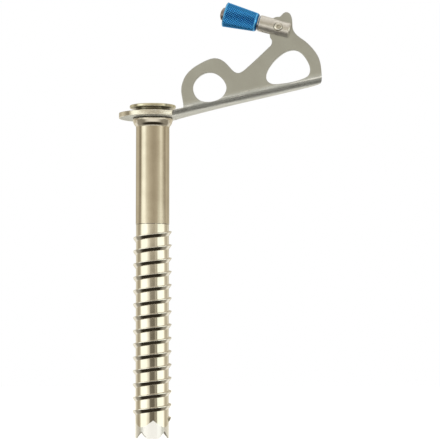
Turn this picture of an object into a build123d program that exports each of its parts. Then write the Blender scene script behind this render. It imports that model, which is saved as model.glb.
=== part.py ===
from build123d import *
import os
from math import cos, sin, tan, atan, radians, pi

# Ice screw with a folding crank knob. Millimetres, +Z up along the tube's axis.
# Origin: on the tube's axis, in the plane where the hanger plate rests on the lower collar.

# ---------------------------------------------------------------- tube
TUBE_R = 8.4            # plain shank
ROOT_R = 8.25           # between the threads
BORE_R = 6.4
TIP_Z = -160.0          # tips of the teeth
TOP_Z = 6.45            # upper end of the tube, flush with the head ring
NECK_R = 7.9            # neck that carries the hanger
NECK_FLAT = 7.3         # half distance across the neck's two flats
SPIGOT_R = 7.3          # spigot that carries the head ring
STEP_Z = -53.4          # the shank is relieved below this for the thread
THREAD_CREST_R = 9.6
THREAD_PITCH = 6.63
THREAD_TURNS = 14.45
THREAD_BOTTOM_Z = -150.2
TOOTH_DEPTH = 3.4
TOOTH_COUNT = 4
TOOTH_PHASE = 11.0      # direction of the first tooth from +X, degrees

# ---------------------------------------------------------------- hanger
PLATE = 2.4             # sheet thickness
HEAD_R = 17.0           # outside radius of the head
WEB_Y = -13.0           # outer face of the upright web
BEND_R = 4.0            # outside radius of the fold between flange and web
ARM_X = 10.9            # the flange starts to rise here
ARM_RISE = 0.206        # rise of the flange per unit of X

# ---------------------------------------------------------------- lever and knob
PIVOT = (64.3, WEB_Y + PLATE / 2, 42.9)
TILT = 15.2             # the folded lever rises this much towards the tube
FORK_R = 4.1
FORK_TAIL = 5.9         # bar beyond the pivot
FORK_LEN = 10.2         # bar from the pivot to its shoulder
SLOT_BOTTOM = 7.6       # slot's end wall, from the pivot
SLOT_W = PLATE + 0.2
PIN_R = 1.5
CAM_R = 5.45            # round cam on the ear, about the pivot
SPINDLE_R = 2.3
SPINDLE_END = 28.1
KNOB_START = 10.7
KNOB_END = 27.7
KNOB_R_SMALL = 4.7
KNOB_R_BIG = 6.25
KNOB_BORE_R = 3.2
BUSH_LEN = 4.2
PLUNGER_R = 1.25

os.makedirs("parts", exist_ok=True)

# =================================================================== tube
with BuildPart() as tube:
    with BuildSketch(Plane.XZ):
        with BuildLine():
            Polyline(
                (BORE_R, TIP_Z), (ROOT_R, TIP_Z), (ROOT_R, STEP_Z - 0.15), (TUBE_R, STEP_Z),
                (TUBE_R, 0), (NECK_R, 0), (NECK_R, PLATE), (SPIGOT_R, PLATE),
                (SPIGOT_R, TOP_Z), (BORE_R + 0.4, TOP_Z), (BORE_R, TOP_Z - 0.4), (BORE_R, TIP_Z),
            )
        make_face()
    revolve(axis=Axis.Z)
    # two flats that keep the hanger from turning on the neck
    with Locations((NECK_FLAT + 2, 0, PLATE / 2), (-NECK_FLAT - 2, 0, PLATE / 2)):
        Box(4, 20, PLATE, mode=Mode.SUBTRACT)
    # thread: steep flank towards the hanger, long flank towards the tip
    HELIX_H = THREAD_PITCH * THREAD_TURNS
    with BuildLine(mode=Mode.PRIVATE) as thread_path:
        Helix(THREAD_PITCH, HELIX_H, ROOT_R, center=(0, 0, THREAD_BOTTOM_Z))
    with BuildSketch(Plane(origin=(ROOT_R, 0, THREAD_BOTTOM_Z), x_dir=(1, 0, 0), z_dir=(0, -1, 0)), mode=Mode.PRIVATE) as thread_profile:
        with BuildLine():
            Polyline(
                (-0.30, 0.50), (THREAD_CREST_R - ROOT_R, 0.22), (THREAD_CREST_R - ROOT_R, -0.12),
                (0.25, -1.68), (-0.30, -2.05), (-0.30, 0.50),
            )
        make_face()
    sweep(thread_profile.sketch, path=thread_path.wires()[0], is_frenet=True)
    # the thread runs in and out with cone-ended crests
    with BuildSketch(Plane.XZ):
        with BuildLine():
            Polyline(
                (ROOT_R + 0.02, TIP_Z - 1), (ROOT_R + 0.02, -153.2), (THREAD_CREST_R + 0.3, -148.6),
                (THREAD_CREST_R + 0.3, -57.6), (TUBE_R + 0.02, -53.9), (TUBE_R + 0.02, TOP_Z + 1),
                (0, TOP_Z + 1), (0, TIP_Z - 1), (ROOT_R + 0.02, TIP_Z - 1),
            )
        make_face()
    revolve(axis=Axis.Z, mode=Mode.INTERSECT)
    # bore, ground inside towards the teeth
    with BuildSketch(Plane.XZ):
        with BuildLine():
            Polyline((0, TIP_Z - 0.5), (8.03, TIP_Z - 0.5), (7.95, TIP_Z), (BORE_R, -154.8), (BORE_R, TOP_Z - 3), (0, TOP_Z - 3), (0, TIP_Z - 0.5))
        make_face()
    revolve(axis=Axis.Z, mode=Mode.SUBTRACT)
    # notches between the teeth
    for i in range(TOOTH_COUNT):
        a = TOOTH_PHASE + 45 + i * 360 / TOOTH_COUNT
        with BuildSketch(Plane(origin=(0, 0, TIP_Z), x_dir=(-sin(radians(a)), cos(radians(a)), 0), z_dir=(cos(radians(a)), sin(radians(a)), 0))):
            with BuildLine():
                Polyline((-4.1, -1.0), (-3.4, 0), (-0.25, TOOTH_DEPTH - 0.1), (0.25, TOOTH_DEPTH - 0.1), (3.4, 0), (5.2, -0.9), (5.2, -2), (-4.1, -2), (-4.1, -1.0))
            make_face()
        extrude(amount=14, mode=Mode.SUBTRACT)
tube.part.label = "tube"

# =================================================================== lower collar
with BuildPart() as lower_collar:
    with BuildSketch(Plane.XZ):
        with BuildLine():
            Polyline(
                (TUBE_R, 0), (9.3, 0), (9.6, -0.05), (9.9, -0.3), (10.1, -0.6), (10.1, -1.0), (9.97, -1.5), (9.75, -2.15),
                (9.55, -2.75), (9.3, -3.2), (8.9, -3.75), (8.6, -4.2), (8.5, -4.6), (TUBE_R, -4.6), (TUBE_R, 0),
            )
        make_face()
    revolve(axis=Axis.Z)
lower_collar.part.label = "lower_collar"

# =================================================================== head ring
with BuildPart() as head_ring:
    with BuildSketch(Plane.XZ):
        with BuildLine():
            Polyline(
                (SPIGOT_R, PLATE), (9.6, PLATE), (9.6, 3.65), (9.45, 3.8), (8.7, 3.95), (8.7, 4.75), (10.9, 4.9), (11.45, 5.05),
                (11.6, 5.25), (11.6, 6.15), (11.3, TOP_Z), (SPIGOT_R, TOP_Z), (SPIGOT_R, PLATE),
            )
        make_face()
    revolve(axis=Axis.Z)
head_ring.part.label = "head_ring"

# =================================================================== hanger
BETA = atan(ARM_RISE)
T_ARM = PLATE / cos(BETA)                     # flange thickness measured along Z
MITRE = PLATE * tan(BETA / 2)


def arm_z(x, up=0.0):
    """Height of the flange's lower face at x, plus up."""
    return ARM_RISE * (x - ARM_X) + up


ARM_PLANE = Plane(origin=(ARM_X, 0, 0), x_dir=(0, 1, 0), z_dir=(cos(BETA), 0, sin(BETA)))
BEND_Y = WEB_Y + BEND_R                        # the fold ends here
INNER_R = BEND_R - PLATE

with BuildPart() as hanger:
    # upright web and the fold, as one long section along the rising arm
    with BuildSketch(ARM_PLANE.offset(0.1)):
        with BuildLine():
            l1 = Line((WEB_Y, 62), (WEB_Y, BEND_R))
            a1 = RadiusArc((WEB_Y, BEND_R), (BEND_Y, 0), -BEND_R)
            l2 = Line((BEND_Y, 0), (BEND_Y, PLATE))
            a2 = RadiusArc((BEND_Y, PLATE), (WEB_Y + PLATE, BEND_R), INNER_R)
            l3 = Line((WEB_Y + PLATE, BEND_R), (WEB_Y + PLATE, 62))
            l4 = Line((WEB_Y + PLATE, 62), (WEB_Y, 62))
        make_face()
    extrude(amount=100)
    # outline of the web seen square on
    with BuildSketch(Plane.XZ.offset(-WEB_Y + 1)):
        with BuildLine():
            Polyline((ARM_X, -6), (ARM_X, arm_z(ARM_X, T_ARM + 0.04)), (16.2, arm_z(16.2, T_ARM + 0.04)), (16.75, arm_z(16.2, T_ARM + 0.22)),
                     (16.97, arm_z(16.2, T_ARM + 0.6)), (16.92, 5.2))
            Spline((16.92, 5.2), (16.72, 6.5), (16.42, 8.3), (16.05, 10.4), (15.9, 12.4), (16.1, 14.6), (16.8, 16.9), (17.8, 19.1), (19.2, 21.0),
                   (21.2, 22.9), (23.5, 24.5), (26.0, 25.9), (28.5, 27.1), (30.7, 27.85), (32.7, 28.1), (34.7, 27.75),
                   (36.7, 26.75), (38.3, 25.4), (39.8, 23.8), (41.2, 22.2), (42.6, 21.05), (44.2, 20.55), (45.8, 20.95),
                   (47.3, 21.95), (50.1, 24.4), (52.6, 26.65), (55.1, 28.95), (57.6, 31.3), (59.9, 33.5))
            Spline((59.9, 33.5), (60.9, 34.9), (60.95, 36.6), (60.15, 38.0))
            EAR_LOW = (PIVOT[0] - CAM_R * cos(radians(37)), PIVOT[2] - CAM_R * sin(radians(37)))
            Line((60.15, 38.0), EAR_LOW)
            ThreePointArc(EAR_LOW,
                          (PIVOT[0] - CAM_R * cos(radians(27)), PIVOT[2] + CAM_R * sin(radians(27))),
                          (PIVOT[0] + CAM_R * sin(radians(6)), PIVOT[2] + CAM_R * cos(radians(6))))
            Spline((PIVOT[0] + CAM_R * sin(radians(6)), PIVOT[2] + CAM_R * cos(radians(6))), (65.7, 48.95), (66.6, 49.9), (68.1, 50.6),
                   (69.6, 50.1), (70.5, 48.9), (70.95, 47.2), (71.1, 45.0), (71.25, 42.9), (71.9, 41.1), (73.3, 39.2),
                   (75.1, 37.7), (77.3, 36.1), (79.7, 33.9), (82.1, 31.1), (83.8, 28.4), (84.8, 25.7), (85.3, 22.5),
                   (85.6, 19.0), (85.65, 17.4))
            Spline((85.65, 17.4), (85.2, 15.6), (83.9, 14.4), (82.4, 13.0))
            Polyline((82.4, 13.0), (82.0, -6), (ARM_X, -6))
        make_face()
    extrude(amount=-12, mode=Mode.INTERSECT)
    # sloping flange behind the fold
    with BuildSketch(Plane.XZ.offset(-BEND_Y)):
        with BuildLine():
            Polyline((ARM_X + 0.35, arm_z(ARM_X + 0.35)), (88, arm_z(88)), (88, arm_z(88, T_ARM)),
                     (ARM_X + 0.35, arm_z(ARM_X + 0.35, T_ARM)), (ARM_X + 0.35, arm_z(ARM_X + 0.35)))
        make_face()
    extrude(amount=-30)
    with BuildSketch(Plane.XY.offset(-8)):
        with BuildLine():
            Polyline((10.5, 7.7), (10.5, -20), (90, -20), (90, -12.6), (85.6, -12.2))
            Spline((85.6, -12.2), (84.9, -9.6), (83.0, -6.9), (79.5, -5.2), (70.0, -3.6), (60.0, -2.5), (50.0, -1.5), (40.0, -0.3),
                   (30.0, 1.5), (22.0, 3.4), (15.5, 5.5), (12.0, 6.9), (10.5, 7.7))
        make_face()
    extrude(amount=80, mode=Mode.INTERSECT)
    # flat head around the tube
    with BuildSketch(Plane.XY):
        Circle(HEAD_R)
        with BuildLine():
            Spline((2.6, 16.9), (5.4, 15.5), (8.0, 12.2), (9.8, 9.2), (12.0, 6.9), tangents=[(1, -0.1), (1, -0.8)])
            Polyline((12.0, 6.9), (12.0, 30), (2.6, 30), (2.6, 16.9))
        make_face(mode=Mode.SUBTRACT)
        with Locations((ARM_X + 0.4 + 15, 0)):
            Rectangle(30, 60, mode=Mode.SUBTRACT)
    extrude(amount=PLATE)
    # keyed hole for the tube's neck
    with BuildSketch(Plane.XY.offset(-1)):
        Circle(NECK_R)
        Rectangle(2 * NECK_FLAT, 40, mode=Mode.INTERSECT)
    extrude(amount=6, mode=Mode.SUBTRACT)
    # round clip hole, a little flatter below
    with BuildSketch(Plane.XZ.offset(-WEB_Y + 1)):
        with BuildLine():
            Spline((21.58, 13.11), (22.03, 15.6), (23.37, 17.75), (25.27, 19.5), (27.51, 20.68), (30.0, 21.09), (32.5, 20.65), (34.74, 19.37),
                   (36.58, 17.55), (37.87, 15.4), (38.42, 13.14), (37.87, 10.9), (36.55, 8.95), (34.7, 7.6), (32.5, 6.8), (29.6, 6.33),
                   (26.9, 6.55), (25.0, 7.3), (23.4, 8.7), (22.2, 10.65), periodic=True)
        make_face()
    extrude(amount=-5.2, mode=Mode.SUBTRACT)
    # D-shaped hole
    with BuildSketch(Plane.XZ.offset(-WEB_Y + 1)):
        with BuildLine():
            Spline((58.05, 18.3), (58.4, 20.6), (59.9, 23.5), (62.4, 26.7), (65.0, 29.0), (67.6, 30.7), (70.0, 31.5), (72.5, 31.6),
                   (74.9, 30.6), (76.5, 29.1), (77.9, 27.2), (79.3, 24.4), (79.9, 21.6), (79.6, 19.9), (78.8, 18.6), (77.4, 17.7),
                   (74.9, 16.75), (71.5, 15.85), (68.0, 15.2), (64.5, 14.85), (61.5, 14.85), (59.6, 15.6), (58.45, 16.9), periodic=True)
        make_face()
    extrude(amount=-6, mode=Mode.SUBTRACT)
    # pivot hole in the ear
    with BuildSketch(Plane.XZ.offset(-WEB_Y + 1)):
        with Locations((PIVOT[0], PIVOT[2])):
            Circle(PIN_R + 0.05)
    extrude(amount=-6, mode=Mode.SUBTRACT)
hanger.part.label = "hanger"

# =================================================================== lever
U = (-cos(radians(TILT)), 0, sin(radians(TILT)))          # from the pivot towards the knob
SIDE = Plane(origin=PIVOT, x_dir=U, z_dir=(0, 1, 0))      # x along the lever, y across it
LEVER = Axis(PIVOT, U)


def along(d):
    """Plane square to the lever, d from the pivot."""
    return Plane(origin=(PIVOT[0] + U[0] * d, PIVOT[1], PIVOT[2] + U[2] * d), x_dir=(0, 1, 0), z_dir=U)


with BuildPart() as lever_fork:
    with BuildSketch(SIDE):
        with BuildLine():
            Polyline(
                (-FORK_TAIL, 0), (-FORK_TAIL, FORK_R - 0.55), (-FORK_TAIL + 0.55, FORK_R), (FORK_LEN - 0.55, FORK_R),
                (FORK_LEN, FORK_R - 0.55), (FORK_LEN, SPINDLE_R), (SPINDLE_END, SPINDLE_R), (SPINDLE_END, 0), (-FORK_TAIL, 0),
            )
        make_face()
    revolve(axis=LEVER)
    # slot over the ear
    with BuildSketch(SIDE.offset(-SLOT_W / 2)):
        with Locations(((SLOT_BOTTOM - FORK_TAIL - 2) / 2, 0)):
            Rectangle(SLOT_BOTTOM + FORK_TAIL + 2, 12)
    extrude(amount=SLOT_W, mode=Mode.SUBTRACT)
    # rivet hole with a flat seat at each cheek
    with BuildSketch(SIDE.offset(-FORK_R - 1)):
        Circle(PIN_R)
    extrude(amount=2 * FORK_R + 2, mode=Mode.SUBTRACT)
    with BuildSketch(SIDE.offset(-FORK_R - 1)):
        Circle(2.3)
    extrude(amount=1.55, mode=Mode.SUBTRACT)
    with BuildSketch(SIDE.offset(FORK_R - 0.55)):
        Circle(2.3)
    extrude(amount=1.55, mode=Mode.SUBTRACT)
    # bore for plunger and spring, from the slot's end wall
    with BuildSketch(along(SLOT_BOTTOM - 0.5)):
        Circle(PLUNGER_R + 0.05)
    extrude(amount=19.5 - SLOT_BOTTOM + 0.5, mode=Mode.SUBTRACT)
    # socket for the end rivet
    with BuildSketch(along(22.5)):
        Circle(1.1)
    extrude(amount=10, mode=Mode.SUBTRACT)
lever_fork.part.label = "lever_fork"

RIVET_SEAT = FORK_R - 0.55
RIVET_TOP = FORK_R + 0.1
RIVET_DIMPLE = FORK_R - 0.4
with BuildPart() as pivot_rivet:
    with BuildSketch(Plane(origin=PIVOT, x_dir=(1, 0, 0), z_dir=(0, 0, 1))):
        with BuildLine():
            Polyline((0, -RIVET_DIMPLE), (0.3, -RIVET_DIMPLE), (0.75, -RIVET_TOP))
            ThreePointArc((0.75, -RIVET_TOP), (1.6, -RIVET_TOP + 0.16), (2.0, -RIVET_TOP + 0.45))
            Polyline((2.0, -RIVET_TOP + 0.45), (2.0, -RIVET_SEAT), (PIN_R, -RIVET_SEAT), (PIN_R, RIVET_SEAT), (2.0, RIVET_SEAT), (2.0, RIVET_TOP - 0.45))
            ThreePointArc((2.0, RIVET_TOP - 0.45), (1.6, RIVET_TOP - 0.16), (0.75, RIVET_TOP))
            Polyline((0.75, RIVET_TOP), (0.3, RIVET_DIMPLE), (0, RIVET_DIMPLE), (0, -RIVET_DIMPLE))
        make_face()
    revolve(axis=Axis(PIVOT, (0, 1, 0)))
pivot_rivet.part.label = "pivot_rivet"

PLUNGER_TIP = CAM_R + 0.03
PLUNGER_LEN = 5.4
with BuildPart() as friction_plunger:
    with BuildSketch(SIDE):
        with BuildLine():
            Line((PLUNGER_TIP, 0), (PLUNGER_TIP + PLUNGER_LEN, 0))
            Line((PLUNGER_TIP + PLUNGER_LEN, 0), (PLUNGER_TIP + PLUNGER_LEN, PLUNGER_R))
            Line((PLUNGER_TIP + PLUNGER_LEN, PLUNGER_R), (PLUNGER_TIP + 0.55, PLUNGER_R))
            ThreePointArc((PLUNGER_TIP + 0.55, PLUNGER_R), (PLUNGER_TIP + 0.14, 0.68), (PLUNGER_TIP, 0.1))
            Line((PLUNGER_TIP, 0.1), (PLUNGER_TIP, 0))
        make_face()
    revolve(axis=LEVER)
friction_plunger.part.label = "friction_plunger"

SPRING_WIRE = 0.36
SPRING_MEAN_R = 0.98
SPRING_START = PLUNGER_TIP + PLUNGER_LEN + SPRING_WIRE / 2 + 0.05
SPRING_SPAN = 19.5 - SPRING_WIRE / 2 - 0.05 - SPRING_START
with BuildPart() as plunger_spring:
    with BuildLine(mode=Mode.PRIVATE) as spring_path:
        Helix(SPRING_SPAN / 9.0, SPRING_SPAN, SPRING_MEAN_R, center=along(SPRING_START).origin, direction=U)
    w = spring_path.wires()[0]
    with BuildSketch(Plane(origin=w @ 0, z_dir=w % 0)):
        Circle(SPRING_WIRE / 2)
    sweep(path=w, is_frenet=True)
plunger_spring.part.label = "plunger_spring"

with BuildPart() as end_rivet:
    with BuildSketch(SIDE):
        with BuildLine():
            Line((23.0, 0), (23.0, 1.1))
            Line((23.0, 1.1), (SPINDLE_END, 1.1))
            Line((SPINDLE_END, 1.1), (SPINDLE_END, 3.2))
            Line((SPINDLE_END, 3.2), (SPINDLE_END + 0.75, 3.2))
            ThreePointArc((SPINDLE_END + 0.75, 3.2), (SPINDLE_END + 1.5, 1.9), (SPINDLE_END + 1.8, 0.2))
            Line((SPINDLE_END + 1.8, 0.2), (SPINDLE_END + 1.8, 0))
            Line((SPINDLE_END + 1.8, 0), (23.0, 0))
        make_face()
    revolve(axis=LEVER)
end_rivet.part.label = "end_rivet"

with BuildPart() as thrust_washer:
    with BuildSketch(along(FORK_LEN)):
        Circle(3.5)
        Circle(SPINDLE_R, mode=Mode.SUBTRACT)
    extrude(amount=0.4)
thrust_washer.part.label = "thrust_washer"

with BuildPart() as end_washer:
    with BuildSketch(along(SPINDLE_END - 0.5)):
        Circle(3.6)
        Circle(SPINDLE_R, mode=Mode.SUBTRACT)
    extrude(amount=0.5)
end_washer.part.label = "end_washer"

# =================================================================== knob
KNOB_RECESS = 0.25
with BuildPart() as knob:
    with BuildSketch(SIDE):
        with BuildLine():
            Polyline(
                (KNOB_START, KNOB_BORE_R), (KNOB_START, 4.1), (KNOB_START + 0.9, KNOB_R_SMALL), (KNOB_END - 0.35, KNOB_R_BIG),
                (KNOB_END, KNOB_R_BIG - 0.4), (KNOB_END, 4.2), (KNOB_END - KNOB_RECESS, 4.0), (KNOB_END - KNOB_RECESS, KNOB_BORE_R), (KNOB_START, KNOB_BORE_R),
            )
        make_face()
    revolve(axis=LEVER)
knob.part.label = "knob"

with BuildPart() as front_bush:
    with BuildSketch(along(KNOB_START)):
        Circle(KNOB_BORE_R)
        Circle(SPINDLE_R + 0.05, mode=Mode.SUBTRACT)
    extrude(amount=BUSH_LEN)
    chamfer(front_bush.edges().filter_by(GeomType.CIRCLE).sort_by(Axis.X)[0], 0.15)
front_bush.part.label = "front_bush"

with BuildPart() as rear_bush:
    with BuildSketch(along(KNOB_END - KNOB_RECESS - BUSH_LEN)):
        Circle(KNOB_BORE_R)
        Circle(SPINDLE_R + 0.05, mode=Mode.SUBTRACT)
    extrude(amount=BUSH_LEN)
rear_bush.part.label = "rear_bush"

for piece in (tube, lower_collar, head_ring, hanger, lever_fork, pivot_rivet, friction_plunger, plunger_spring,
              end_rivet, thrust_washer, end_washer, knob, front_bush, rear_bush):
    export_step(piece.part, f"parts/{piece.part.label}.step")
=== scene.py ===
import bpy, math
from mathutils import Vector, Matrix


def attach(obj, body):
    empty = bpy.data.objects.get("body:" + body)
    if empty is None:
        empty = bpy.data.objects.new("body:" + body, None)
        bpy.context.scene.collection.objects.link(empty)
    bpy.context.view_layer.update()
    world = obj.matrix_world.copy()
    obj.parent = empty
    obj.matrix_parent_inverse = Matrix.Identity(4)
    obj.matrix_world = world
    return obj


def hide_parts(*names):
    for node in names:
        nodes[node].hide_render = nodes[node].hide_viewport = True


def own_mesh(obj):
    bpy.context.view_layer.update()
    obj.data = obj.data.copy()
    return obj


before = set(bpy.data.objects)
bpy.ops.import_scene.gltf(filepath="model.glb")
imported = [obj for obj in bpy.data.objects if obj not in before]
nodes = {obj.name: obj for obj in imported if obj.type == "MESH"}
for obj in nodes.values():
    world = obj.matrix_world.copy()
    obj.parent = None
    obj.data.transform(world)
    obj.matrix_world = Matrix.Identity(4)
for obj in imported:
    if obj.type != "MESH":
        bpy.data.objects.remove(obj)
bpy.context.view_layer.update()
scene = bpy.context.scene

# ------------------------------------------------------------------ camera
PHI, FOCAL_PX, HORIZON = math.radians(5.5), 2000.0, 360.0
pitch = math.atan((HORIZON - 220) / FOCAL_PX)
cam_data = bpy.data.cameras.new("camera")
cam_data.sensor_width = 36.0
cam_data.lens = 36.0 * FOCAL_PX / 440
cam_data.clip_start, cam_data.clip_end = 0.05, 60
cam = bpy.data.objects.new("camera", cam_data)
cam.location = (0.129557, -0.992554, -0.12128)
cam.rotation_euler = (math.radians(90) + pitch, 0, PHI)
scene.collection.objects.link(cam)
scene.camera = cam
scene.view_settings.view_transform = "Standard"
scene.view_settings.look = "None"


# ------------------------------------------------------------------ node helpers
class Net:
    """Small helper to write shader nodes as expressions."""

    def __init__(self, tree):
        self.t = tree
        self.x = -1800

    def node(self, kind, **props):
        n = self.t.nodes.new(kind)
        self.x += 30
        n.location = (self.x, 0)
        for k, v in props.items():
            setattr(n, k, v)
        return n

    def put(self, socket, value):
        if isinstance(value, bpy.types.NodeSocket):
            self.t.links.new(value, socket)
        elif value is not None:
            socket.default_value = value

    def math(self, op, a, b=None, c=None, clamp=False):
        n = self.node("ShaderNodeMath", operation=op, use_clamp=clamp)
        for i, v in enumerate((a, b, c)):
            if v is not None:
                self.put(n.inputs[i], v)
        return n.outputs[0]

    def vmath(self, op, a, b=None, scale=None):
        n = self.node("ShaderNodeVectorMath", operation=op)
        self.put(n.inputs[0], a)
        if b is not None:
            self.put(n.inputs[1], b)
        if scale is not None:
            self.put(n.inputs["Scale"], scale)
        return n.outputs["Value"] if op in ("DOT_PRODUCT", "LENGTH") else n.outputs[0]

    def mix(self, f, a, b, blend="MIX"):
        n = self.node("ShaderNodeMix", data_type="RGBA", blend_type=blend)
        self.put(n.inputs[0], f)
        self.put(n.inputs[6], a)
        self.put(n.inputs[7], b)
        return n.outputs[2]

    def lerp(self, f, a, b):
        n = self.node("ShaderNodeMix", data_type="FLOAT")
        self.put(n.inputs[0], f)
        self.put(n.inputs[2], a)
        self.put(n.inputs[3], b)
        return n.outputs[0]

    def step(self, v, lo, hi, a=0.0, b=1.0, smooth=True):
        n = self.node("ShaderNodeMapRange", interpolation_type="SMOOTHSTEP" if smooth else "LINEAR", clamp=True)
        self.put(n.inputs[0], v)
        n.inputs[1].default_value, n.inputs[2].default_value = lo, hi
        n.inputs[3].default_value, n.inputs[4].default_value = a, b
        return n.outputs[0]

    def noise(self, vec, scale, detail=3.0, rough=0.5, distort=0.0, out="Fac"):
        n = self.node("ShaderNodeTexNoise")
        self.put(n.inputs["Vector"], vec)
        n.inputs["Scale"].default_value = scale
        n.inputs["Detail"].default_value = detail
        n.inputs["Roughness"].default_value = rough
        n.inputs["Distortion"].default_value = distort
        return n.outputs[0 if out == "Fac" else 1]

    def ramp(self, v, stops, interp="LINEAR"):
        n = self.node("ShaderNodeValToRGB")
        r = n.color_ramp
        r.interpolation = interp
        while len(r.elements) > 1:
            r.elements.remove(r.elements[-1])
        for i, (p, c) in enumerate(stops):
            e = r.elements[0] if i == 0 else r.elements.new(p)
            e.position = p
            e.color = (c, c, c, 1) if isinstance(c, (int, float)) else (*c, 1)
        self.put(n.inputs[0], v)
        return n.outputs[0]

    def vec(self, x, y, z):
        n = self.node("ShaderNodeCombineXYZ")
        for i, v in enumerate((x, y, z)):
            self.put(n.inputs[i], v)
        return n.outputs[0]

    def sep(self, v):
        n = self.node("ShaderNodeSeparateXYZ")
        self.put(n.inputs[0], v)
        return n.outputs

    def bump(self, height, strength, distance, normal=None):
        n = self.node("ShaderNodeBump")
        n.inputs["Strength"].default_value = strength
        n.inputs["Distance"].default_value = distance
        self.put(n.inputs["Height"], height)
        if normal is not None:
            self.put(n.inputs["Normal"], normal)
        return n.outputs[0]


def material(name):
    m = bpy.data.materials.new(name)
    m.use_nodes = True
    t = m.node_tree
    t.nodes.clear()
    net = Net(t)
    p = net.node("ShaderNodeBsdfPrincipled")
    out = net.node("ShaderNodeOutputMaterial")
    p.location, out.location = (300, 0), (600, 0)
    t.links.new(p.outputs[0], out.inputs[0])
    mm = net.vmath("SCALE", net.node("ShaderNodeTexCoord").outputs["Object"], scale=1000.0)   # millimetres
    return m, net, p, mm


def edge_wear_and_shade(net, radius=0.00035):
    """How strongly a point sits on a rounded-over edge, 0 to 1, and the rounded normal. The mask lightens worn edges on
    turned parts and paints shade along the hanger's edges.
    """
    bev = net.node("ShaderNodeBevel", samples=6)
    bev.inputs[0].default_value = radius
    geo = net.node("ShaderNodeNewGeometry")
    d = net.vmath("DOT_PRODUCT", bev.outputs[0], geo.outputs["Normal"])
    return net.step(d, 0.999, 0.90, 0.0, 1.0), bev.outputs[0]


def crevice_shade(net, distance, inside=False):
    """Open surface 1, deep corner 0. Used as the mask for painted shade in corners and gaps."""
    ao = net.node("ShaderNodeAmbientOcclusion", samples=8, only_local=inside)
    ao.inputs["Distance"].default_value = distance
    return ao.outputs["AO"]


# ------------------------------------------------------------------ materials
def steel_tube():
    m, n, p, mm = material("polished_tube_steel")
    x, y, z = n.sep(mm)
    r = n.vmath("LENGTH", n.vec(x, y, 0.0))
    threaded = n.step(z, -53.2, -53.7)
    crest = n.step(r, 9.2, 9.5)
    turn = n.math("ARCTAN2", y, x)
    # grinding lines run round the tube
    lines = n.noise(n.vec(n.math("MULTIPLY", x, 0.10), n.math("MULTIPLY", y, 0.10), n.math("MULTIPLY", z, 7.0)), 1.0, 4, 0.6)
    fine = n.noise(n.vec(n.math("MULTIPLY", x, 0.35), n.math("MULTIPLY", y, 0.35), n.math("MULTIPLY", z, 28.0)), 1.0, 3, 0.6)
    cloud = n.noise(mm, 0.11, 3, 0.55)
    spots = n.noise(mm, 1.9, 5, 0.65)
    base = n.mix(n.step(cloud, 0.32, 0.68), (0.80, 0.735, 0.62, 1), (0.72, 0.655, 0.545, 1))
    base = n.mix(n.math("MULTIPLY", n.step(spots, 0.60, 0.74), 0.25), base, (0.56, 0.50, 0.41, 1))
    base = n.mix(threaded, base, n.mix(n.step(cloud, 0.35, 0.65), (0.86, 0.81, 0.72, 1), (0.78, 0.73, 0.63, 1)))
    base = n.mix(crest, base, (0.90, 0.87, 0.80, 1))
    # ground zone at the teeth
    scallop = n.math("ABSOLUTE", n.math("SINE", n.math("ADD", n.math("MULTIPLY", turn, 2.0), -0.384)))
    edge = n.math("ADD", -151.4, n.math("MULTIPLY", scallop, -3.3))
    edge = n.math("ADD", edge, n.math("MULTIPLY", n.noise(n.vec(turn, 0.0, 0.0), 3.0, 2), 0.5))
    ground = n.step(n.math("SUBTRACT", z, edge), 0.25, -0.10)
    base = n.mix(ground, base, (0.97, 0.965, 0.95, 1))
    # painted shade: a thin dark line round the tube at the step, broken by noise
    step_shade_line = n.step(n.math("ABSOLUTE", n.math("ADD", z, 53.55)), 0.20, 0.08)
    step_shade_line = n.math("MULTIPLY", step_shade_line, n.step(n.noise(n.vec(n.math("MULTIPLY", x, 0.5), n.math("MULTIPLY", y, 0.5), 0.0), 1.0, 2), 0.38, 0.50))
    base = n.mix(n.math("MULTIPLY", step_shade_line, 0.85), base, (0.10, 0.085, 0.065, 1))
    base = n.mix(n.step(r, 7.9, 7.4), base, (0.42, 0.38, 0.32, 1))          # painted shade: darker colour inside the bore, which is also rougher
    n.put(p.inputs["Base Color"], base)
    p.inputs["Metallic"].default_value = 1.0
    rough = n.lerp(threaded, 0.105, 0.085)
    rough = n.lerp(ground, rough, 0.17)
    rough = n.math("ADD", rough, n.math("MULTIPLY", n.math("SUBTRACT", lines, 0.5), 0.10), clamp=True)
    rough = n.math("MAXIMUM", rough, n.step(r, 7.9, 7.4, 0.0, 0.42))
    n.put(p.inputs["Roughness"], rough)
    e, bn = edge_wear_and_shade(n, 0.00015)
    h = n.math("ADD", n.math("MULTIPLY", lines, 0.7), n.math("MULTIPLY", fine, 0.3))
    # the relief ground behind each tooth leans a little towards the tip
    lean = n.vmath("NORMALIZE", n.vmath("ADD", bn, n.vec(0.0, 0.0, n.math("ADD", n.math("MULTIPLY", threaded, -0.022), n.math("MULTIPLY", n.math("MULTIPLY", ground, n.step(r, 7.9, 8.1)), -0.12)))))
    n.put(p.inputs["Normal"], n.bump(h, 0.20, 0.00002, lean))
    return m


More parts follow.
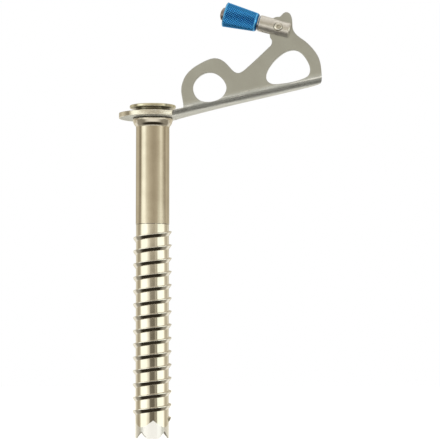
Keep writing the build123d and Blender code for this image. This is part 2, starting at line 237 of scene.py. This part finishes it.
def steel_ring(name, tint, rough0, deep=0.0010, span=(0.62, 0.22)):
    """Turned ring: lines round the tube's axis."""
    m, n, p, mm = material(name)
    x, y, z = n.sep(mm)
    r = n.vmath("LENGTH", n.vec(x, y, 0.0))
    lines = n.noise(n.vec(n.math("MULTIPLY", r, 9.0), n.math("MULTIPLY", z, 9.0), n.math("MULTIPLY", x, 0.05)), 1.0, 4, 0.6)
    cloud = n.noise(mm, 0.25, 3, 0.5)
    e, bn = edge_wear_and_shade(n, 0.0002)
    base = n.mix(n.step(cloud, 0.35, 0.65), (*tint, 1), (*[c * 0.88 for c in tint], 1))
    base = n.mix(n.math("MULTIPLY", e, 0.6), base, (0.90, 0.87, 0.80, 1))
    # painted shade: dark colour in corners, under the lip and in gaps
    base = n.mix(n.step(crevice_shade(n, deep), span[0], span[1], 0.0, 0.92), base, (0.055, 0.045, 0.030, 1))
    n.put(p.inputs["Base Color"], base)
    p.inputs["Metallic"].default_value = 1.0
    n.put(p.inputs["Roughness"], n.math("ADD", n.math("MULTIPLY", lines, 0.08), rough0))
    n.put(p.inputs["Normal"], n.bump(lines, 0.16, 0.00002, bn))
    return m


def satin_plate():
    m, n, p, mm = material("satin_hanger_steel")
    x, y, z = n.sep(mm)
    cloud = n.noise(mm, 0.09, 4, 0.55)
    tumble = n.noise(mm, 3.2, 5, 0.62)
    pits = n.noise(mm, 9.0, 3, 0.5)
    # rolling lines along the arm, strongest at the fold
    slope = 0.206
    across = n.math("SUBTRACT", z, n.math("MULTIPLY", x, slope))
    along = n.math("ADD", n.math("MULTIPLY", x, 0.977), n.math("MULTIPLY", z, 0.2114))
    streak = n.noise(n.vec(n.math("MULTIPLY", along, 0.09), n.math("MULTIPLY", across, 1.9), n.math("MULTIPLY", y, 1.9)), 1.0, 4, 0.6)
    fold = n.step(n.math("ADD", across, 2.245), 5.4, 3.4)           # height above the flange's lower face
    base = n.mix(n.step(cloud, 0.30, 0.70), (0.660, 0.676, 0.645, 1), (0.612, 0.622, 0.590, 1))
    base = n.mix(n.math("MULTIPLY", n.step(tumble, 0.42, 0.72), 0.22), base, (0.48, 0.48, 0.43, 1))
    base = n.mix(n.math("MULTIPLY", n.step(pits, 0.62, 0.74), 0.35), base, (0.38, 0.38, 0.34, 1))
    e, bn = edge_wear_and_shade(n, 0.00045)
    # painted shade: darker colour along the plate's rounded edges
    base = n.mix(n.math("MULTIPLY", e, 0.55), base, (0.40, 0.39, 0.37, 1))
    # painted highlight: pale cream colour on the head disc's edge face
    painted_rim_highlight = n.math("MULTIPLY", n.step(n.vmath("LENGTH", n.vec(x, y, 0.0)), 16.3, 16.9), n.step(x, 12.5, 11.3))
    base = n.mix(painted_rim_highlight, base, (0.86, 0.82, 0.72, 1))
    # painted highlight: pale streaks along the fold
    pale = n.math("MULTIPLY", n.step(streak, 0.50, 0.66), fold)
    base = n.mix(n.math("MULTIPLY", pale, 0.8), base, (0.95, 0.94, 0.90, 1))
    # painted shade: dark colour in corners and contact gaps
    base = n.mix(n.step(crevice_shade(n, 0.0014), 0.60, 0.20, 0.0, 0.85), base, (0.06, 0.055, 0.045, 1))
    n.put(p.inputs["Base Color"], base)
    n.put(p.inputs["Metallic"], n.lerp(fold, 1.0, 0.87))
    rough = n.lerp(fold, 0.40, 0.50)
    rough = n.math("ADD", rough, n.math("MULTIPLY", n.math("MULTIPLY", fold, n.step(streak, 0.36, 0.62)), -0.26))
    rim = n.math("MULTIPLY", n.step(n.vmath("LENGTH", n.vec(x, y, 0.0)), 16.3, 16.9), n.step(x, 12.5, 11.3))
    rim = n.math("MULTIPLY", rim, n.step(n.math("ABSOLUTE", n.math("SUBTRACT", z, 1.2)), 1.3, 1.15))
    rough = n.lerp(rim, rough, 0.12)
    rough = n.math("ADD", rough, n.math("MULTIPLY", n.math("SUBTRACT", tumble, 0.5), 0.22), clamp=True)
    n.put(p.inputs["Roughness"], rough)
    h = n.math("ADD", n.math("MULTIPLY", tumble, 0.5), n.math("MULTIPLY", n.math("MULTIPLY", streak, fold), 14.0))
    h = n.math("ADD", h, n.math("MULTIPLY", n.step(pits, 0.60, 0.75), -0.4))
    n.put(p.inputs["Normal"], n.bump(h, 0.30, 0.00003, bn))
    return m


U = Vector((-math.cos(math.radians(15.2)), 0, math.sin(math.radians(15.2))))
PIVOT = Vector((0.0643, -0.0118, 0.0429))


def turned(name, tint, rough0, strength=0.25, deep=0.0012, metal=1.0):
    """Turned steel about the lever's axis."""
    m, n, p, mm = material(name)
    rel = n.vmath("SUBTRACT", mm, tuple(PIVOT * 1000))
    d = n.vmath("DOT_PRODUCT", rel, tuple(U))
    r = n.vmath("LENGTH", n.vmath("SUBTRACT", rel, n.vmath("SCALE", tuple(U), scale=d)))
    lines = n.noise(n.vec(n.math("MULTIPLY", d, 8.0), n.math("MULTIPLY", r, 8.0), 0.0), 1.0, 4, 0.6)
    cloud = n.noise(mm, 0.4, 3, 0.5)
    e, bn = edge_wear_and_shade(n, 0.0002)
    base = n.mix(n.step(cloud, 0.35, 0.65), (*tint, 1), (*[c * 0.87 for c in tint], 1))
    base = n.mix(n.math("MULTIPLY", e, 0.5), base, (0.88, 0.86, 0.80, 1))
    # painted shade: dark colour in corners and contact gaps
    base = n.mix(n.step(crevice_shade(n, deep), 0.58, 0.20, 0.0, 0.85), base, (0.06, 0.055, 0.045, 1))
    n.put(p.inputs["Base Color"], base)
    p.inputs["Metallic"].default_value = metal
    n.put(p.inputs["Roughness"], n.math("ADD", n.math("MULTIPLY", lines, 0.14), rough0))
    n.put(p.inputs["Normal"], n.bump(lines, strength, 0.00002, bn))
    return m


def anodised():
    m, n, p, mm = material("blue_anodised_aluminium")
    at = n.node("ShaderNodeAttribute", attribute_name="knurl")
    hgt = at.outputs["Fac"]
    cloud = n.noise(mm, 0.5, 3, 0.5)
    grain = n.noise(mm, 12.0, 4, 0.6)
    base = n.mix(n.step(cloud, 0.3, 0.7), (0.042, 0.390, 0.860, 1), (0.033, 0.320, 0.780, 1))
    # painted shade: dark colour in the knurl's grooves
    base = n.mix(n.step(hgt, 0.60, 0.03), base, (0.003, 0.050, 0.215, 1))
    # painted highlight: light colour on the knurl's ridges
    base = n.mix(n.step(hgt, 0.66, 1.0, 0.0, 0.85), base, (0.26, 0.68, 0.98, 1))
    n.put(p.inputs["Base Color"], base)
    p.inputs["Metallic"].default_value = 0.82
    n.put(p.inputs["Roughness"], n.math("ADD", n.math("MULTIPLY", grain, 0.14), 0.16))
    n.put(p.inputs["Normal"], n.bump(grain, 0.15, 0.00001))
    return m


def bronze():
    m, n, p, mm = material("sintered_bronze")
    g = n.noise(mm, 7.0, 4, 0.6)
    base = n.mix(n.step(g, 0.4, 0.65), (0.62, 0.42, 0.20, 1), (0.42, 0.27, 0.12, 1))
    n.put(p.inputs["Base Color"], base)
    p.inputs["Metallic"].default_value = 0.9
    n.put(p.inputs["Roughness"], n.math("ADD", n.math("MULTIPLY", g, 0.2), 0.38))
    n.put(p.inputs["Normal"], n.bump(g, 0.3, 0.00003))
    return m


MATS = {
    "tube": steel_tube(),
    "lower_collar": steel_ring("turned_collar_steel", (0.76, 0.70, 0.60), 0.07),
    "head_ring": steel_ring("turned_ring_steel", (0.84, 0.80, 0.62), 0.04, 0.0026, (0.80, 0.42)),
    "hanger": satin_plate(),
    "lever_fork": turned("turned_lever_steel", (0.80, 0.765, 0.71), 0.28, metal=0.92),
    "pivot_rivet": turned("rivet_steel", (0.84, 0.81, 0.74), 0.06, 0.1, 0.0022),
    "end_rivet": turned("end_rivet_steel", (0.42, 0.36, 0.35), 0.26, 0.2),
    "friction_plunger": turned("plunger_steel", (0.66, 0.66, 0.66), 0.14),
    "plunger_spring": turned("spring_steel", (0.62, 0.62, 0.64), 0.22),
    # painted highlight: the front washer's tint is raised near white, above the rear washer's
    "thrust_washer": turned("washer_steel", (0.92, 0.92, 0.90), 0.24),
    "end_washer": turned("washer_steel_rear", (0.70, 0.69, 0.66), 0.24),
    "front_bush": bronze(),
}
MATS["rear_bush"] = MATS["front_bush"]
KNOB_MAT = anodised()
MATS["knob"] = KNOB_MAT
for name, mat in MATS.items():
    o = nodes[name]
    if isinstance(o, str):
        o = bpy.data.objects[o]
    if not o.material_slots:
        o.data.materials.append(mat)
    for s in o.material_slots:
        s.material = mat


# ------------------------------------------------------------------ knurled knob
def knurled_knob():
    """Tapered grip with a cut diamond knurl, turned about the lever's axis."""
    start, end, r_small, r_big, bore = 10.7, 27.7, 4.69, 6.24, 3.2
    recess = 0.25
    round_teeth, per = 28, 8                    # teeth round the grip, steps per tooth
    k0, k1 = 11.6, 27.34                        # the knurl's span
    rows_teeth = 13
    cols = round_teeth * per
    rows = rows_teeth * per
    depth = 0.34

    def taper(d):
        return r_small + (r_big - r_small) * (d - (start + 0.9)) / (end - 0.35 - start - 0.9)

    ex = Vector((0, 1, 0))
    ez = U.cross(ex)

    def at(d, r, a):
        return (PIVOT * 1000 + U * d + ex * (r * math.cos(a)) + ez * (r * math.sin(a))) / 1000

    verts, faces, hs = [], [], []

    def ring(d, r, h=0.22):
        i0 = len(verts)
        for c in range(cols):
            verts.append(at(d, r, 2 * math.pi * c / cols))
            hs.append(h)
        return i0

    def tri(t):
        t = t % 1.0
        return abs(2 * t - 1)                   # 1 at whole numbers, 0 half way

    loops = [ring(start, bore + 0.12), ring(start, 3.95), ring(start + 0.05, 4.1), ring(start + 0.45, 4.37)]
    first_knurl = len(loops)
    for j in range(rows + 1):
        d = k0 + (k1 - k0) * j / rows
        fade = min(1.0, j / 5.0, (rows - j) / 5.0)
        i0 = len(verts)
        for c in range(cols):
            pq = (c + j) / per, (c - j) / per
            g = max(tri(pq[0]), tri(pq[1]))     # 1 on a groove line
            g = max(0.0, (g - 0.10) / 0.90)
            h = 1 - g * fade
            verts.append(at(d, taper(d) - depth * (1 - h), 2 * math.pi * c / cols))
            hs.append(h)
        loops.append(i0)
    last_knurl = len(loops) - 1
    loops += [ring(end - 0.12, 5.97), ring(end, 5.84), ring(end, 4.2), ring(end - recess, 4.0),
              ring(end - recess, bore + 0.1), ring(end - recess - 0.1, bore), ring(start + 0.12, bore)]
    loops.append(loops[0])
    for k in range(len(loops) - 1):
        a, b = loops[k], loops[k + 1]
        j = k - first_knurl
        inside = first_knurl <= k < last_knurl
        for c in range(cols):
            c2 = (c + 1) % cols
            q = (a + c, a + c2, b + c2, b + c)
            if inside:
                if (c + j) % 4 == 3:            # a ridge or groove runs down the other diagonal
                    faces += [(q[0], q[1], q[3]), (q[1], q[2], q[3])]
                elif (c - j) % 4 == 0:
                    faces += [(q[0], q[1], q[2]), (q[0], q[2], q[3])]
                else:
                    faces += [(q[0], q[1], q[2]), (q[0], q[2], q[3])]
            else:
                faces.append(q)
    me = bpy.data.meshes.new("knurled_knob")
    me.from_pydata([tuple(v) for v in verts], [], faces)
    at_ = me.attributes.new("knurl", "FLOAT", "POINT")
    at_.data.foreach_set("value", hs)
    me.update()
    import bmesh
    bm = bmesh.new()
    bm.from_mesh(me)
    bmesh.ops.recalc_face_normals(bm, faces=bm.faces)
    bm.to_mesh(me)
    bm.free()
    o = bpy.data.objects.new("knurled_knob", me)
    scene.collection.objects.link(o)
    me.materials.append(KNOB_MAT)
    return o


knob = knurled_knob()
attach(knob, "knob")
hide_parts("knob")

# ------------------------------------------------------------------ spring
# the spring's nearest point along the lever's axis is measured, and the spring gets a mesh of its own
spring = nodes["plunger_spring"]
if isinstance(spring, str):
    spring = bpy.data.objects[spring]
bpy.context.view_layer.update()
near = min((spring.matrix_world @ v.co - PIVOT).dot(U) for v in spring.data.vertices)
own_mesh(spring)

# ------------------------------------------------------------------ floor and light
floor_me = bpy.data.meshes.new("floor")
S = 12.0
FLOOR_Z = -0.30
floor_me.from_pydata([(-S, -S, FLOOR_Z), (S, -S, FLOOR_Z), (S, S, FLOOR_Z), (-S, S, FLOOR_Z)], [], [(0, 1, 2, 3)])
floor = bpy.data.objects.new("floor", floor_me)
scene.collection.objects.link(floor)
fm = bpy.data.materials.new("pale_floor")
fm.use_nodes = True
fb = fm.node_tree.nodes["Principled BSDF"]
fb.inputs["Base Color"].default_value = (0.88, 0.88, 0.87, 1)
fb.inputs["Roughness"].default_value = 0.9
fb.inputs["Emission Color"].default_value = (1, 1, 1, 1)
fb.inputs["Emission Strength"].default_value = 0.55
floor_me.materials.append(fm)
floor.visible_glossy = False

world = bpy.data.worlds.new("studio")
scene.world = world
world.use_nodes = True
wt = world.node_tree
wt.nodes.clear()
w = Net(wt)
d = w.node("ShaderNodeTexCoord").outputs["Generated"]
FRONT, RIGHT = (0.129, -0.9916, 0.0), (0.9916, 0.129, 0.0)
fx = w.vmath("DOT_PRODUCT", d, FRONT)
rx = w.vmath("DOT_PRODUCT", d, RIGHT)
alpha = w.math("ARCTAN2", rx, fx)
t = w.math("ADD", w.math("DIVIDE", alpha, 2 * math.pi), 0.5)


def deg(a):
    return a / 360 + 0.5


def lin(v):
    v = v / 255
    return v / 12.92 if v <= 0.04045 else ((v + 0.055) / 1.055) ** 2.4


STEEL = (0.80, 0.735, 0.62)


def tone(grey):
    """Light that the tube's steel mirrors back as this display grey, warmer where it is darker."""
    k = min(1.0, max(0.0, (grey - 140) / 97))
    ratio = [a + (b - a) * k for a, b in ((1.128, 1.063), (1.028, 1.03), (0.837, 0.911))]
    return tuple(0.5 * lin(min(255.0, grey * q) if grey < 250 else grey * q) / f for q, f in zip(ratio, STEEL))


HIGH = [(-180, 160), (-142, 152), (-125, 174), (-111, 155), (-100, 119), (-90, 117), (-84, 160), (-79, 215), (-72, 232), (-58, 238),
        (-50, 215), (-41, 181), (-33, 172), (-19, 157), (-5, 147), (5, 142), (22, 144), (36, 158), (44, 167), (51, 190),
        (59, 208), (66, 194), (75, 170), (84, 132), (94, 132), (104, 153), (116, 168), (131, 141), (152, 163), (179, 160)]
LOW = [(-180, 170), (-165, 190), (-152, 196), (-130, 172), (-116, 140), (-97, 150), (-88, 205), (-82, 252), (-42, 252), (-28, 208),
       (-13, 181), (0, 170), (13, 165), (18, 172), (22, 186), (26, 172), (34, 200), (40, 248), (85, 252), (91, 205), (97, 186),
       (106, 158), (120, 160), (134, 190), (155, 180), (179, 165)]
high = w.ramp(t, [(deg(a), tone(v)) for a, v in HIGH])
low = w.ramp(t, [(deg(a), tone(v)) for a, v in LOW])
sz = w.sep(d)[2]
el = w.math("ARCSINE", sz)
side = w.mix(w.step(el, math.radians(4.2), math.radians(2.4)), high, low)
# a dark upright in the middle of the view, with a thin pale slit beside its centre
column = w.math("MULTIPLY", w.step(t, deg(-23), deg(-12)), w.step(t, deg(38), deg(28)))
slit = w.math("MULTIPLY", w.step(t, deg(17), deg(20)), w.step(t, deg(27), deg(24)))
column = w.math("MULTIPLY", column, w.math("SUBTRACT", 1.0, w.math("MULTIPLY", slit, 0.6)))
column = w.math("MULTIPLY", column, w.step(el, math.radians(1.6), math.radians(-1.4)))
side = w.mix(w.math("MULTIPLY", column, 0.80), side, (0.030, 0.026, 0.018, 1))
# the white table below, with the dark camera stand in front of and under the object
front_down = w.math("ARCTAN2", w.math("MULTIPLY", sz, -1.0), fx)
lateral = w.math("ARCSINE", rx)
ellipse = w.math("ADD", w.math("POWER", w.math("DIVIDE", lateral, math.radians(46)), 2.0),
                 w.math("POWER", w.math("DIVIDE", w.math("SUBTRACT", front_down, math.radians(84)), math.radians(42)), 2.0))
shade = w.step(ellipse, 1.25, 0.45)
near = w.mix(w.step(front_down, math.radians(30), math.radians(42)), (0.50, 0.49, 0.455, 1), (0.17, 0.16, 0.135, 1))
near = w.mix(w.step(front_down, math.radians(128), math.radians(150)), near, (0.48, 0.47, 0.43, 1))
table = w.mix(shade, near, (0.016, 0.014, 0.010, 1))
sky = w.mix(w.step(el, math.radians(55), math.radians(85)), (0.33, 0.315, 0.285, 1), (0.50, 0.49, 0.46, 1))
env = w.mix(w.step(el, math.radians(12), math.radians(38)), side, sky)
env = w.mix(w.step(el, math.radians(-9), math.radians(-17)), env, table)
env = w.mix(1.0, env, (2.0, 2.0, 2.0, 1), "MULTIPLY")
bg = w.node("ShaderNodeBackground")
w.put(bg.inputs[0], env)
bg.inputs[1].default_value = 1.0
white = w.node("ShaderNodeBackground")
white.inputs[0].default_value = (1, 1, 1, 1)
white.inputs[1].default_value = 1.0
lp = w.node("ShaderNodeLightPath")
ms = w.node("ShaderNodeMixShader")
w.put(ms.inputs[0], lp.outputs["Is Camera Ray"])
wt.links.new(bg.outputs[0], ms.inputs[1])
wt.links.new(white.outputs[0], ms.inputs[2])
wo = w.node("ShaderNodeOutputWorld")
wt.links.new(ms.outputs[0], wo.inputs[0])


def area(name, loc, target, size, power, glossy=False):
    li = bpy.data.lights.new(name, "AREA")
    li.shape, li.size, li.size_y, li.energy = "RECTANGLE", size[0], size[1], power
    o = bpy.data.objects.new(name, li)
    o.location = loc
    o.rotation_mode = "QUATERNION"
    o.rotation_quaternion = (Vector(target) - Vector(loc)).to_track_quat("-Z", "Y")
    scene.collection.objects.link(o)
    o.visible_camera = False
    o.visible_glossy = glossy
    return o


area("overhead_softbox", (0.1, -0.3, 1.6), (0.04, 0, -0.05), (1.6, 1.6), 26)
